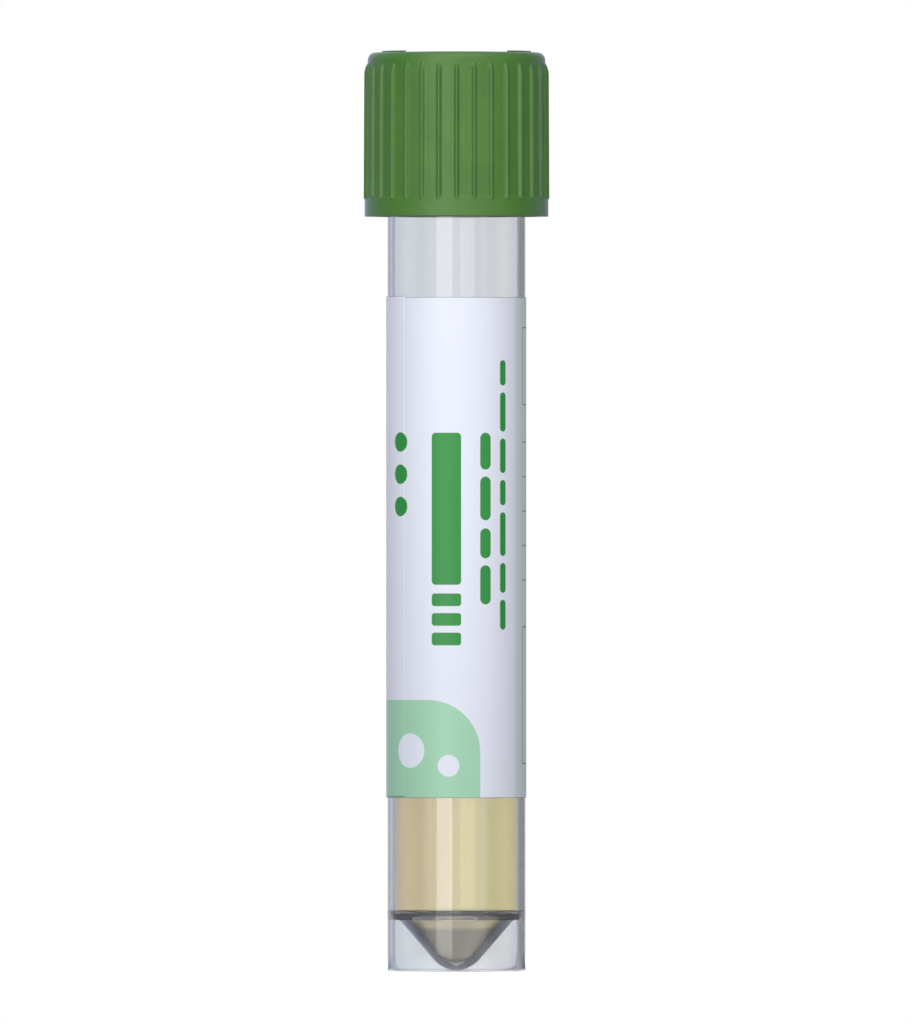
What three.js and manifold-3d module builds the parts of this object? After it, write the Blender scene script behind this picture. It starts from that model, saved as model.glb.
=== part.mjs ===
// Specimen swab tube: a clear self-standing tube with a ribbed screw cap, a paper label and
// its liquid transport medium. Millimetres, +Z up, origin on the tube's axis in the plane
// that it stands on.
import * as THREE from 'three';
import { mergeVertices } from 'three/addons/utils/BufferGeometryUtils.js';
import Module from 'manifold-3d';

const wasm = await Module();
wasm.setup();

// ---------------------------------------------------------------- driving dimensions

// Facets around the axis. Every turned piece shares them, so nested walls stay parallel.
const FACETS = 64;
const ARC_STEPS = 5;
const MOUTH_STEPS = 3;
const RIB_ROUND_STEPS = 4;
const MENISCUS_STEPS = 4;
const THREAD_STEPS_PER_TURN = 32;

// Tube: barrel, skirt and conical floor in one moulding.
const TUBE_RADIUS = 6.0;
const TUBE_WALL = 0.6;
const LIP_HEIGHT = 78.0;
const EDGE_ROUND = 0.12;
const WEB_THICKNESS = 0.83;
const WEB_LEDGE = 0.09;
const CONE_ANGLE_OUTSIDE = THREE.MathUtils.degToRad(41);
const CONE_ANGLE_INSIDE = THREE.MathUtils.degToRad(38);
const CONE_TIP_RADIUS = 2.6;
const CONE_TIP_WALL = 0.6;
const CONE_MOUTH_ROUND = 1.5;
const CONE_GROUND_CLEARANCE = 0.1;

// Neck under the cap, measured down from the lip.
const NECK_LENGTH = 11.1;
const NECK_SHOULDER_STEP = 0.1;

// Two-start thread, the same ridge section on the neck and in the cap.
const THREAD_STARTS = 2;
const THREAD_LEAD = 5.0;
const THREAD_DEPTH = 0.6;
const THREAD_BASE_WIDTH = 0.9;
const THREAD_CREST_WIDTH = 0.4;
const THREAD_RADIAL_CLEARANCE = 0.3;
const THREAD_FLANK_CLEARANCE = 0.15;
const THREAD_RUN_OUT = 0.12;
const NECK_THREAD_TURNS = 1.125;
const NECK_THREAD_BELOW_LIP = 8.9;
const CAP_THREAD_TURNS = 0.875;

// Screw cap. Its skirt hangs below the lip.
const CAP_SKIRT_LENGTH = 12.4;
const CAP_BAND_RADIUS = 7.99;
const CAP_BAND_HEIGHT = 1.55;
const CAP_FLARE_HEIGHT = 0.3;
const CAP_BODY_RADIUS = 7.8;
const CAP_BODY_DRAFT = 0.08;
const CAP_TOP_THICKNESS = 1.36;
const CAP_TOP_CROWN = 0.09;
const CAP_TOP_FILLET = 0.68;
const CAP_MOUTH_CHAMFER = 0.3;

// Grip ribs.
const RIB_COUNT = 32;
const RIB_HEIGHT = 0.267;
const RIB_DRAFT = 0.042;
const RIB_BASE_WIDTH = 0.54;
const RIB_CREST_WIDTH = 0.2;
const RIB_TOP_BELOW_CAP_TOP = 1.02;
const RIB_TOP_ROUND = 2.0;
const RIB_TOP_ROUND_HEIGHT = 1.04;

// Flat pads that stand just above the crown of the cap's top, one on each side.
const PAD_RADIUS = 6.5;
const PAD_INNER_EDGE = 4.4;
const PAD_RISE = 0.04;

// Plug ring that enters the bore, and the socket that grips a swab's shaft.
const PLUG_CLEARANCE = 0.1;
const PLUG_WALL = 0.7;
const PLUG_DEPTH = 3.2;
const PLUG_LEAD_IN = 0.25;
const SOCKET_RADIUS = 2.2;
const SOCKET_DEPTH = 8.0;
const SOCKET_MOUTH_RADIUS = 1.3;
const SOCKET_SEAT_RADIUS = 1.1;

// Washer between the lip and the underside of the cap's top.
const SEAL_THICKNESS = 0.6;
const SEAL_PLUG_CLEARANCE = 0.15;
const SEAL_BORE_CLEARANCE = 0.3;

// Wrap-round label, a clear band below the cap, with its free end lapped over its start.
const LABEL_BELOW_CAP = 7.03;
const LABEL_WIDTH = 43.47;
const LABEL_THICKNESS = 0.05;
const LABEL_FILM = 0.02;
const LABEL_LAP_FREE_END = THREE.MathUtils.degToRad(-137);
const LABEL_LAP_ANGLE = THREE.MathUtils.degToRad(45);
const LABEL_LAP_SKEW = 0.12;

// Liquid in the tube.
const MEDIUM_HEIGHT = 20.4;
const MEDIUM_GAP = 0.05;
const MENISCUS_RISE = 0.5;
const MENISCUS_REACH = 1.6;

// How far a joined piece is sunk into the one that carries it, so that the two fuse.
const SINK = 0.3;

// Vertices closer than this are one vertex.
const MERGE_DISTANCE = 1e-4;

// ---------------------------------------------------------------- derived dimensions

const boreRadius = TUBE_RADIUS - TUBE_WALL;
const neckRadius = TUBE_RADIUS - NECK_SHOULDER_STEP;
const shoulderHeight = LIP_HEIGHT - NECK_LENGTH;
const coneCentre = CONE_TIP_RADIUS + CONE_GROUND_CLEARANCE;
const innerTipRadius = CONE_TIP_RADIUS - CONE_TIP_WALL;
const webTop = mouthCentre()[1] + CONE_MOUTH_ROUND;
const webUnderside = webTop - WEB_THICKNESS;
const neckThreadRadius = neckRadius + THREAD_DEPTH;
const capBoreRadius = neckThreadRadius + THREAD_RADIAL_CLEARANCE;
const capBottom = LIP_HEIGHT - CAP_SKIRT_LENGTH;
const capBandTop = capBottom + CAP_BAND_HEIGHT;
const capCeiling = LIP_HEIGHT + SEAL_THICKNESS;
const capTop = capCeiling + CAP_TOP_THICKNESS;
const labelTop = capBottom - LABEL_BELOW_CAP;
const labelBottom = labelTop - LABEL_WIDTH;
const plugRadius = boreRadius - PLUG_CLEARANCE;

// ---------------------------------------------------------------- helpers

// A closed geometry as a manifold: coincident vertices are merged, and the slivers that a
// lathe leaves on its axis are dropped.
function solidOf(geometry) {
  geometry.deleteAttribute('normal');
  geometry.deleteAttribute('uv');
  const merged = mergeVertices(geometry, MERGE_DISTANCE);
  const index = merged.index.array;
  const triangles = [];
  for (let i = 0; i < index.length; i += 3) {
    const [a, b, c] = index.slice(i, i + 3);
    if (a !== b && b !== c && c !== a) triangles.push(a, b, c);
  }
  return new wasm.Manifold(new wasm.Mesh({
    numProp: 3,
    vertProperties: merged.attributes.position.array,
    triVerts: Uint32Array.from(triangles),
  }));
}

// A manifold as a named three.js mesh.
function meshOf(name, solid, material) {
  const { vertProperties, triVerts } = solid.getMesh();
  const geometry = new THREE.BufferGeometry();
  geometry.setAttribute('position', new THREE.BufferAttribute(vertProperties, 3));
  geometry.setIndex(new THREE.BufferAttribute(triVerts, 1));
  geometry.computeVertexNormals();
  const mesh = new THREE.Mesh(geometry, material);
  mesh.name = name;
  return mesh;
}

function joined(solids) {
  return solids.reduce((whole, solid) => whole.add(solid));
}

// The share of the facets that an angle about the axis takes.
function facetsAlong(angle) {
  return Math.round((angle / (2 * Math.PI)) * FACETS);
}

// Points along an arc on the (radius, height) plane. Angles are in radians from the
// direction of growing radius.
function arc(r, z, radius, from, to, steps) {
  return Array.from({ length: steps + 1 }, (_, i) => {
    const angle = THREE.MathUtils.lerp(from, to, i / steps);
    return [r + radius * Math.cos(angle), z + radius * Math.sin(angle)];
  });
}

// A closed outline on the (radius, height) plane, listed with its solid on the left, turned
// about the Z axis.
function turned(outline) {
  const points = [...outline, outline[0]].map(([r, z]) => new THREE.Vector2(r, z));
  return solidOf(new THREE.LatheGeometry(points, FACETS).rotateX(Math.PI / 2));
}

// An outline on the XY plane, raised from one height by another.
function raised(shape, bottom, height, curveSegments) {
  const geometry = new THREE.ExtrudeGeometry(shape, {
    depth: height,
    bevelEnabled: false,
    curveSegments,
  });
  return solidOf(geometry.translate(0, 0, bottom));
}

// The round tip of a cone, from the axis to the start of its straight side.
function coneTip(radius, halfAngle) {
  const tip = arc(0, coneCentre, radius, -Math.PI / 2, -halfAngle, ARC_STEPS);
  tip[0][0] = 0;
  return tip;
}

// The underside of the cone, up to the web that it hangs from.
function coneOutside() {
  const rise = (webUnderside - coneCentre) * Math.sin(CONE_ANGLE_OUTSIDE);
  const edge = (CONE_TIP_RADIUS + rise) / Math.cos(CONE_ANGLE_OUTSIDE);
  return [...coneTip(CONE_TIP_RADIUS, CONE_ANGLE_OUTSIDE), [edge, webUnderside]];
}

// The centre of the mouth's rounding, a narrow ledge away from the bore, where the rounding
// runs on into the straight side of the inner cone.
function mouthCentre() {
  const radius = boreRadius - WEB_LEDGE;
  const tangent = radius * Math.cos(CONE_ANGLE_INSIDE) - innerTipRadius - CONE_MOUTH_ROUND;
  return [radius, coneCentre + tangent / Math.sin(CONE_ANGLE_INSIDE)];
}

// The inner face of the cone up to its rounded mouth, or what stands a gap away from it.
function coneInside(gap) {
  const [start, end] = [Math.PI - CONE_ANGLE_INSIDE, Math.PI / 2];
  return [
    ...coneTip(innerTipRadius - gap, CONE_ANGLE_INSIDE),
    ...arc(...mouthCentre(), CONE_MOUTH_ROUND + gap, start, end, MOUTH_STEPS),
  ];
}

// One thread ridge: a bar of trapezoid section wound on a right-hand helix about Z. It
// stands outwards from a neck (direction 1) or inwards from a bore (direction -1), and runs
// out into its wall at both ends.
function ridge(wallRadius, direction, turns, startHeight, startAngle) {
  const steps = Math.round(turns * THREAD_STEPS_PER_TURN);
  const bar = new THREE.BoxGeometry(turns, 1, 1, steps, 1, 1);
  const position = bar.attributes.position;
  for (let i = 0; i < position.count; i++) {
    const along = position.getX(i) + turns / 2;
    const onCrest = position.getZ(i) > 0;
    const width = onCrest ? THREAD_CREST_WIDTH : THREAD_BASE_WIDTH + rootFlare();
    const across = direction * position.getY(i) * width;
    const angle = startAngle + along * 2 * Math.PI;
    const radius = wallRadius + direction * (onCrest ? crestHeight(along, turns) : -SINK);
    position.setXYZ(
      i,
      radius * Math.cos(angle),
      radius * Math.sin(angle),
      startHeight + along * THREAD_LEAD + across,
    );
  }
  return solidOf(bar);
}

// The flanks keep their slope down to the sunk root.
function rootFlare() {
  return ((THREAD_BASE_WIDTH - THREAD_CREST_WIDTH) * SINK) / THREAD_DEPTH;
}

// Height of a ridge's crest above its wall, falling to just under the wall at both ends.
function crestHeight(along, turns) {
  const fade = Math.min(1, along / THREAD_RUN_OUT, (turns - along) / THREAD_RUN_OUT);
  return THREE.MathUtils.lerp(-SINK / 3, THREAD_DEPTH, Math.max(0, fade));
}

function thread(wallRadius, direction, turns, startHeight) {
  const ridges = Array.from({ length: THREAD_STARTS }, (_, i) => {
    const startAngle = (i * 2 * Math.PI) / THREAD_STARTS;
    return ridge(wallRadius, direction, turns, startHeight, startAngle);
  });
  return joined(ridges);
}

// ---------------------------------------------------------------- pieces

const neckThreadStart = LIP_HEIGHT - NECK_THREAD_BELOW_LIP;

// Half the widths of the two ridges where they overlap, and the clearance between flanks.
const threadOffset = threadSeat();

function threadSeat() {
  const slope = (THREAD_BASE_WIDTH - THREAD_CREST_WIDTH) / THREAD_DEPTH;
  const widths = 2 * THREAD_BASE_WIDTH - slope * (capBoreRadius - neckRadius);
  return widths / 2 + THREAD_FLANK_CLEARANCE;
}

function tube() {
  const body = turned([
    [boreRadius + EDGE_ROUND, 0],
    [TUBE_RADIUS - EDGE_ROUND, 0],
    [TUBE_RADIUS, EDGE_ROUND],
    [TUBE_RADIUS, shoulderHeight],
    [neckRadius, shoulderHeight + NECK_SHOULDER_STEP],
    [neckRadius, LIP_HEIGHT - EDGE_ROUND],
    [neckRadius - EDGE_ROUND, LIP_HEIGHT],
    [boreRadius + EDGE_ROUND, LIP_HEIGHT],
    [boreRadius, LIP_HEIGHT - EDGE_ROUND],
    [boreRadius, webTop],
    ...coneInside(0).reverse(),
    ...coneOutside(),
    [boreRadius, webUnderside],
    [boreRadius, EDGE_ROUND],
  ]);
  return body.add(thread(neckRadius, 1, NECK_THREAD_TURNS, neckThreadStart));
}

function medium() {
  const radius = boreRadius - MEDIUM_GAP;
  const meniscus = Array.from({ length: MENISCUS_STEPS + 1 }, (_, i) => {
    const inward = i / MENISCUS_STEPS;
    const rise = MENISCUS_RISE * (1 - inward) ** 2;
    return [radius - inward * MENISCUS_REACH, MEDIUM_HEIGHT + rise];
  });
  return turned([
    ...coneInside(MEDIUM_GAP),
    [radius, webTop + MEDIUM_GAP],
    ...meniscus,
    [0, MEDIUM_HEIGHT],
  ]);
}

function label() {
  const inner = TUBE_RADIUS + LABEL_FILM;
  const outer = inner + LABEL_THICKNESS;
  const wrap = turned([
    [inner, labelBottom],
    [outer, labelBottom],
    [outer, labelTop],
    [inner, labelTop],
  ]);
  const lapStart = LABEL_LAP_FREE_END - LABEL_LAP_ANGLE;
  const lap = new THREE.Shape();
  lap.absarc(0, 0, outer + LABEL_THICKNESS, lapStart, LABEL_LAP_FREE_END, false);
  lap.absarc(0, 0, inner + LABEL_THICKNESS / 2, LABEL_LAP_FREE_END, lapStart, true);
  const segments = facetsAlong(LABEL_LAP_ANGLE);
  return wrap.add(raised(lap, labelBottom + LABEL_LAP_SKEW, LABEL_WIDTH, segments));
}

function seal() {
  const inner = plugRadius + SEAL_PLUG_CLEARANCE;
  const outer = capBoreRadius - SEAL_BORE_CLEARANCE;
  return turned([
    [inner, LIP_HEIGHT],
    [outer, LIP_HEIGHT],
    [outer, capCeiling],
    [inner, capCeiling],
  ]);
}

// The cap without its ribs, thread and pads. The crown of its top is a shallow parabola.
function capShell() {
  const crownRadius = CAP_BODY_RADIUS - CAP_BODY_DRAFT - CAP_TOP_FILLET;
  const shoulder = capTop - CAP_TOP_CROWN - CAP_TOP_FILLET;
  const plugEnd = capCeiling - PLUG_DEPTH;
  return turned([
    [capBoreRadius + CAP_MOUTH_CHAMFER, capBottom],
    [CAP_BAND_RADIUS - EDGE_ROUND / 2, capBottom],
    [CAP_BAND_RADIUS, capBottom + EDGE_ROUND / 2],
    [CAP_BAND_RADIUS, capBandTop],
    [CAP_BODY_RADIUS, capBandTop + CAP_FLARE_HEIGHT],
    ...arc(crownRadius, shoulder, CAP_TOP_FILLET, 0, Math.PI / 2, ARC_STEPS),
    [crownRadius / 2, capTop - CAP_TOP_CROWN / 4],
    [0, capTop],
    [0, capCeiling],
    [SOCKET_SEAT_RADIUS, capCeiling],
    [SOCKET_MOUTH_RADIUS, capCeiling - SOCKET_DEPTH],
    [SOCKET_RADIUS, capCeiling - SOCKET_DEPTH],
    [SOCKET_RADIUS, capCeiling],
    [plugRadius - PLUG_WALL, capCeiling],
    [plugRadius - PLUG_WALL, plugEnd],
    [plugRadius - PLUG_LEAD_IN, plugEnd],
    [plugRadius, plugEnd + 2 * PLUG_LEAD_IN],
    [plugRadius, capCeiling],
    [capBoreRadius, capCeiling],
    [capBoreRadius, capBottom + CAP_MOUTH_CHAMFER],
  ]);
}

// The grip ribs: straight blades, cut to the drafted, round-topped envelope of their crests.
// They start inside the band, and a blade runs on past the crest line, to where its flanks
// leave half of the crest's width, so that the envelope alone shapes the crest.
function ribs() {
  const crest = CAP_BODY_RADIUS + RIB_HEIGHT;
  const bottom = capBottom + CAP_BAND_HEIGHT / 2;
  const top = capTop - RIB_TOP_BELOW_CAP_TOP;
  const roundStart = top - RIB_TOP_ROUND_HEIGHT;
  const roundEnd = Math.asin(RIB_TOP_ROUND_HEIGHT / RIB_TOP_ROUND);
  const envelope = turned([
    [0, bottom],
    [CAP_BAND_RADIUS - RIB_HEIGHT / 2, bottom],
    [crest, capBandTop + CAP_FLARE_HEIGHT],
    ...arc(crest - RIB_DRAFT - RIB_TOP_ROUND, roundStart, RIB_TOP_ROUND, 0, roundEnd, RIB_ROUND_STEPS),
    [CAP_BODY_RADIUS - SINK, top + RIB_HEIGHT],
    [0, top + RIB_HEIGHT],
  ]);
  const slope = (RIB_BASE_WIDTH - RIB_CREST_WIDTH) / 2 / RIB_HEIGHT;
  const rootHalf = RIB_BASE_WIDTH / 2 + slope * SINK;
  const tipHalf = RIB_CREST_WIDTH / 4;
  const root = CAP_BODY_RADIUS - SINK;
  const tip = crest + (RIB_CREST_WIDTH / 2 - tipHalf) / slope;
  const section = new THREE.Shape();
  section.moveTo(root, -rootHalf);
  section.lineTo(tip, -tipHalf);
  section.lineTo(tip, tipHalf);
  section.lineTo(root, rootHalf);
  const blade = raised(section, bottom, top + RIB_HEIGHT - bottom, 1);
  const spacing = 360 / RIB_COUNT;
  const blades = Array.from({ length: RIB_COUNT }, (_, i) => blade.rotate([0, 0, i * spacing]));
  return joined(blades).intersect(envelope);
}

function pad(side) {
  const half = Math.acos(PAD_INNER_EDGE / PAD_RADIUS);
  const middle = side > 0 ? 0 : Math.PI;
  const outline = new THREE.Shape();
  outline.absarc(0, 0, PAD_RADIUS, middle - half, middle + half, false);
  return raised(outline, capTop - SINK, SINK + PAD_RISE, facetsAlong(2 * half));
}

function cap() {
  const threadStart = neckThreadStart - threadOffset;
  const inside = thread(capBoreRadius, -1, CAP_THREAD_TURNS, threadStart);
  return joined([capShell(), ribs(), inside, pad(-1), pad(1)]);
}

// ---------------------------------------------------------------- materials and assembly

function finish(color, roughness, opacity = 1) {
  return new THREE.MeshStandardMaterial({
    color,
    roughness,
    metalness: 0,
    opacity,
    transparent: opacity < 1,
  });
}

const specimenSwabTube = new THREE.Group();
specimenSwabTube.name = 'specimen_swab_tube';
specimenSwabTube.add(
  meshOf('tube', tube(), finish(0xd5dbe0, 0.08, 0.35)),
  meshOf('transport_medium', medium(), finish(0xd0c08a, 0.1, 0.75)),
  meshOf('label', label(), finish(0xeceef8, 0.6)),
  meshOf('lip_seal', seal(), finish(0xe6e6e2, 0.5)),
  meshOf('screw_cap', cap(), finish(0x4f7f32, 0.35)),
);

export default specimenSwabTube;
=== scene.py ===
# %% [markdown]
# # A specimen swab tube, dressed for its picture
#
# The object is a small self-standing tube of clear plastic with a conical floor, a little
# amber liquid, a wrap-round label and a ribbed green screw cap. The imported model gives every
# piece its size, place and motion. This file gives each one its finished surface, its
# material and its light. Sizes are in millimetres, and `MM` turns them into metres.

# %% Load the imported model
import math

import bmesh
import bpy
from mathutils import Matrix, Vector


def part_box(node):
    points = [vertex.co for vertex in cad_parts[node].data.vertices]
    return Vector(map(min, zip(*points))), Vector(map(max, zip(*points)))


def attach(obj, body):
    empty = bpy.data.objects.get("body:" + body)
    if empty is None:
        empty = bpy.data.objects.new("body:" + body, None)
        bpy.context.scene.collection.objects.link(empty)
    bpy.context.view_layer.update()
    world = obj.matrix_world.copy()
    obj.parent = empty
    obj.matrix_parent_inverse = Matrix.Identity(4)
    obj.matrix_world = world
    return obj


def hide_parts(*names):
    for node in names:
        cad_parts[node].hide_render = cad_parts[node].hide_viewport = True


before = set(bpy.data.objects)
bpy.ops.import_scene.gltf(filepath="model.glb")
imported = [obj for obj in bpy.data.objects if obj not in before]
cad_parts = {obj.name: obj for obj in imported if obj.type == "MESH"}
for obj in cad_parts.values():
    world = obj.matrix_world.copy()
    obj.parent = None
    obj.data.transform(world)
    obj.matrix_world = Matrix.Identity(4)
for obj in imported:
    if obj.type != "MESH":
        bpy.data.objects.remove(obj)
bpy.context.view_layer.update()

MM = 0.001

# %% [markdown]
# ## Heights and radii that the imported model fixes
#
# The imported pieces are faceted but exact, so their boxes give the levels that every finished
# piece has to meet: the lip, the cap's two ends, the label's two edges and the liquid's
# surface. Reading them here means that a change to the model carries through to the picture.

# %% Read the levels
def levels(node):
    """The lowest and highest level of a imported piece, and its largest radius, in mm."""
    low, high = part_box(node)
    return low.z / MM, high.z / MM, high.x / MM


_, LIP, _ = levels("tube")
CAP_BOTTOM, CAP_TOP, _ = levels("screw_cap")
LABEL_BOTTOM, LABEL_TOP, LABEL_RADIUS = levels("label")
LIQUID_BOTTOM, LIQUID_EDGE, _ = levels("transport_medium")
SEAL_BOTTOM, SEAL_TOP, SEAL_RADIUS = levels("lip_seal")
print(f"lip {LIP:.2f}, cap {CAP_BOTTOM:.2f} to {CAP_TOP:.2f}")
print(f"label {LABEL_BOTTOM:.2f} to {LABEL_TOP:.2f}")
print(f"liquid {LIQUID_BOTTOM:.2f} to {LIQUID_EDGE:.2f}, seal {SEAL_BOTTOM:.2f} to {SEAL_TOP:.2f}")

# %% [markdown]
# ## Turned meshes
#
# Nearly everything on this object is round, so one helper turns an outline of (radius,
# height) points about the Z axis. A Screw modifier could do it too, but building the rings
# directly lets a piece choose where its columns fall, which the ribbed cap needs. The outline
# runs up the outside and down the inside, so the faces point outwards, and a point on the
# axis becomes a single vertex, so the pole is closed.

# %% Turn an outline into a closed mesh
ON_AXIS = 1e-6


def finished_mesh(name, work):
    """A mesh from a working one, which is let go."""
    mesh = bpy.data.meshes.new(name)
    work.to_mesh(mesh)
    work.free()
    return mesh


def turned_mesh(name, outline, angles):
    """A closed (radius, height) outline in mm, turned through a list of angles."""
    work = bmesh.new()
    rings = []
    for radius, height in outline:
        if radius < ON_AXIS:
            rings.append([work.verts.new((0, 0, height * MM))])
            continue
        rings.append([
            work.verts.new((radius * MM * math.cos(a), radius * MM * math.sin(a), height * MM))
            for a in angles
        ])
    for ring, after in zip(rings, rings[1:] + rings[:1]):
        if len(ring) == len(after) == 1:
            continue
        for i in range(len(angles)):
            j = (i + 1) % len(angles)
            corners = [ring[i % len(ring)], ring[j % len(ring)]]
            corners += [after[j % len(after)], after[i % len(after)]]
            work.faces.new(list(dict.fromkeys(corners)))
    return finished_mesh(name, work)


def even_angles(count):
    """Equal steps around the axis."""
    return [2 * math.pi * i / count for i in range(count)]


def arc(radius, height, size, start, end, steps):
    """Points on an arc about (radius, height), angles in degrees from the outward side."""
    turns = [math.radians(start + (end - start) * i / steps) for i in range(steps + 1)]
    return [(radius + size * math.cos(t), height + size * math.sin(t)) for t in turns]


def rows(radius_a, height_a, radius_b, height_b, count):
    """Evenly spaced points on a straight stretch of an outline, without its last one."""
    across, up = radius_b - radius_a, height_b - height_a
    return [(radius_a + across * i / count, height_a + up * i / count) for i in range(count)]


# %% Put a mesh in the scene
def smooth(mesh, crease=30):
    """Smooth shading, with edges sharper than the crease angle kept sharp."""
    mesh.shade_smooth()
    mesh.set_sharp_from_angle(angle=math.radians(crease))


def add_piece(name, mesh, material, body, slot, *nodes):
    """A finished piece at the origin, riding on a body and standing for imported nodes."""
    piece = bpy.data.objects.new(name, mesh)
    bpy.context.scene.collection.objects.link(piece)
    if not mesh.materials:
        mesh.materials.append(material)
    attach(piece, body)
    if nodes:
        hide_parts(*nodes)
    print(f"{name}: {len(mesh.vertices)} vertices, {len(mesh.polygons)} faces")


# %% [markdown]
# ## Building node trees in code
#
# Materials and Geometry Nodes share the same Math and Map Range nodes, so a few small helpers
# serve both. `settle` fills a node's sockets, by a plain value or by a link when the value is
# another node's output. `place` adds a node, sets its options and settles it. `calc` does the
# same for one Math node and hands back its result, and `product` multiplies several values.

# %% Helpers for nodes
def settle(tree, node, inputs):
    """Sets or links the sockets of a node."""
    for key, value in inputs.items():
        if isinstance(value, bpy.types.NodeSocket):
            tree.links.new(value, node.inputs[key])
        else:
            node.inputs[key].default_value = value
    return node


def place(tree, kind, inputs=None, **options):
    """One new node with its options set and its sockets settled."""
    node = tree.nodes.new(kind)
    for option, value in options.items():
        setattr(node, option, value)
    return settle(tree, node, inputs or {})


def calc(tree, operation, *values):
    """The result of one Math node."""
    return place(tree, "ShaderNodeMath", dict(enumerate(values)), operation=operation).outputs[0]


def product(tree, first, *others):
    """Several values multiplied together."""
    for value in others:
        first = calc(tree, "MULTIPLY", first, value)
    return first


def ramp(tree, value, start, end, low=0.0, high=1.0, smooth_step=False):
    """A value mapped from one span to another and held at both ends."""
    spans = {"Value": value, "From Min": start, "From Max": end, "To Min": low, "To Max": high}
    kind = "SMOOTHSTEP" if smooth_step else "LINEAR"
    return place(tree, "ShaderNodeMapRange", spans, interpolation_type=kind).outputs["Result"]


def mix_colour(tree, factor, first, second, blend="MIX"):
    """Two colours mixed by a factor."""
    inputs = {0: factor, 6: first, 7: second}
    return place(tree, "ShaderNodeMix", inputs, data_type="RGBA", blend_type=blend).outputs[2]


def mix_shader(tree, factor, first, second):
    """Two surfaces mixed by a factor."""
    return place(tree, "ShaderNodeMixShader", {0: factor, 1: first, 2: second}).outputs[0]


def position(tree):
    """The place on the object itself, as one vector and as its X, Y and Z."""
    where = place(tree, "ShaderNodeTexCoord").outputs["Object"]
    return where, place(tree, "ShaderNodeSeparateXYZ", {"Vector": where}).outputs


def new_material(name):
    """A material with its Principled shader, and its tree."""
    material = bpy.data.materials.new(name)
    material.use_nodes = True
    tree = material.node_tree
    return material, tree, tree.nodes["Principled BSDF"]


def new_group(name, inputs, outputs):
    """A shader group with its sockets, as {name: kind}, and what goes into and out of it."""
    group = bpy.data.node_groups.new(name, "ShaderNodeTree")
    for in_out, sockets in (("INPUT", inputs), ("OUTPUT", outputs)):
        for label, kind in sockets.items():
            group.interface.new_socket(label, in_out=in_out, socket_type=f"NodeSocket{kind}")
    given, out = group.nodes.new("NodeGroupInput"), group.nodes.new("NodeGroupOutput")
    return group, given.outputs, out.inputs


def floats(*names):
    """Names of number sockets, for a group."""
    return dict.fromkeys(names, "Float")


# %% [markdown]
# ## A shared finish: fine grain
#
# Moulded plastic, label film and liquid all look too perfect when their surface is only a
# colour. A mould leaves a very fine texture, and handling leaves slightly duller patches.
# This group makes both from noise on Object coordinates: a height for a Bump node and a
# small change to add to the roughness. Its inputs set the grain's size and how much longer
# it is along the axis, because drawn or moulded tubes carry faint lines along their length.

# %% Group: fine grain
FINE_DETAIL = 3.0
PATCH_DETAIL = 2.0
GRAINS_TO_A_PATCH = 12.0


def grain_group():
    """Noise height and roughness change, with the grain stretched along the axis."""
    group, given, out = new_group(
        "fine grain",
        floats("Grain per mm", "Length", "Patchiness"),
        floats("Height", "Roughness Change"),
    )
    where, xyz = position(group)
    parts = {"X": xyz["X"], "Y": xyz["Y"], "Z": calc(group, "DIVIDE", xyz["Z"], given["Length"])}
    stretched = place(group, "ShaderNodeCombineXYZ", parts).outputs["Vector"]
    scale = calc(group, "DIVIDE", given["Grain per mm"], MM)
    inputs = {"Vector": stretched, "Scale": scale, "Detail": FINE_DETAIL}
    fine = place(group, "ShaderNodeTexNoise", inputs)
    broad_scale = calc(group, "DIVIDE", scale, GRAINS_TO_A_PATCH)
    inputs = {"Vector": where, "Scale": broad_scale, "Detail": PATCH_DETAIL}
    broad = place(group, "ShaderNodeTexNoise", inputs)
    centred = calc(group, "SUBTRACT", broad.outputs["Fac"], 0.5)
    group.links.new(fine.outputs["Fac"], out["Height"])
    group.links.new(product(group, centred, given["Patchiness"]), out["Roughness Change"])
    return group


GRAIN = grain_group()


def grained(tree, roughness, grain_per_mm, length, patchiness, bump_strength, bump_mm):
    """A roughness value and a normal made from the fine grain group."""
    values = {"Grain per mm": grain_per_mm, "Length": length, "Patchiness": patchiness}
    grain = place(tree, "ShaderNodeGroup", values, node_tree=GRAIN).outputs
    bump = {"Height": grain["Height"], "Strength": bump_strength, "Distance": bump_mm * MM}
    normal = place(tree, "ShaderNodeBump", bump).outputs["Normal"]
    return calc(tree, "ADD", grain["Roughness Change"], roughness), normal


print("group:", GRAIN.name)

# %% [markdown]
# ## The clear plastic
#
# The tube is a glossy clear moulding that is slightly grey through its walls. One Principled
# shader with full transmission does it, because the mesh has real walls: light bends at
# every surface, and the bright and dark strips down the tube's sides come out of that, as
# they do on the real one, with painted shade below deepening the dark ones. Fine lines along the
# axis keep the reflections from looking drawn.
#
# Where the wall turns away from the eye, the base colour darkens, on the outer wall and on the
# cone, but not at the rounded foot. A little of this is the grey tint that tells most where
# one looks along the wall; most of it is painted shade, nearly black, that darkens the strips
# at the tube's edges. A Layer Weight node gives how far the surface has turned. Two places get
# a little help, because light is turned back in them more often than a renderer follows. The
# thick web round the cone's mouth has a faint milky share, as thick sections of a moulding do,
# and the foot's thin rounded edge is mostly an opening.
# A path tracer finds it hard to bring lamp light through bent walls to what is inside. So for
# shadow rays, and for rays that left a dull surface, the wall is a faintly tinted opening.

# %% Light through clear walls
LET_IN = (0.93, 0.94, 0.95, 1)


def opening(tree, tint=LET_IN):
    """A surface that only tints what lies straight behind it."""
    return place(tree, "ShaderNodeBsdfTransparent", {"Color": tint}).outputs[0]


def let_light_in(tree, surface, tint=LET_IN):
    """Lets the light that soft surfaces gather pass straight through a piece."""
    rays = place(tree, "ShaderNodeLightPath").outputs
    for kind in ("Is Diffuse Ray", "Is Shadow Ray"):
        surface = mix_shader(tree, rays[kind], surface, opening(tree, tint))
    tree.links.new(surface, tree.nodes["Material Output"].inputs["Surface"])


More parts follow.
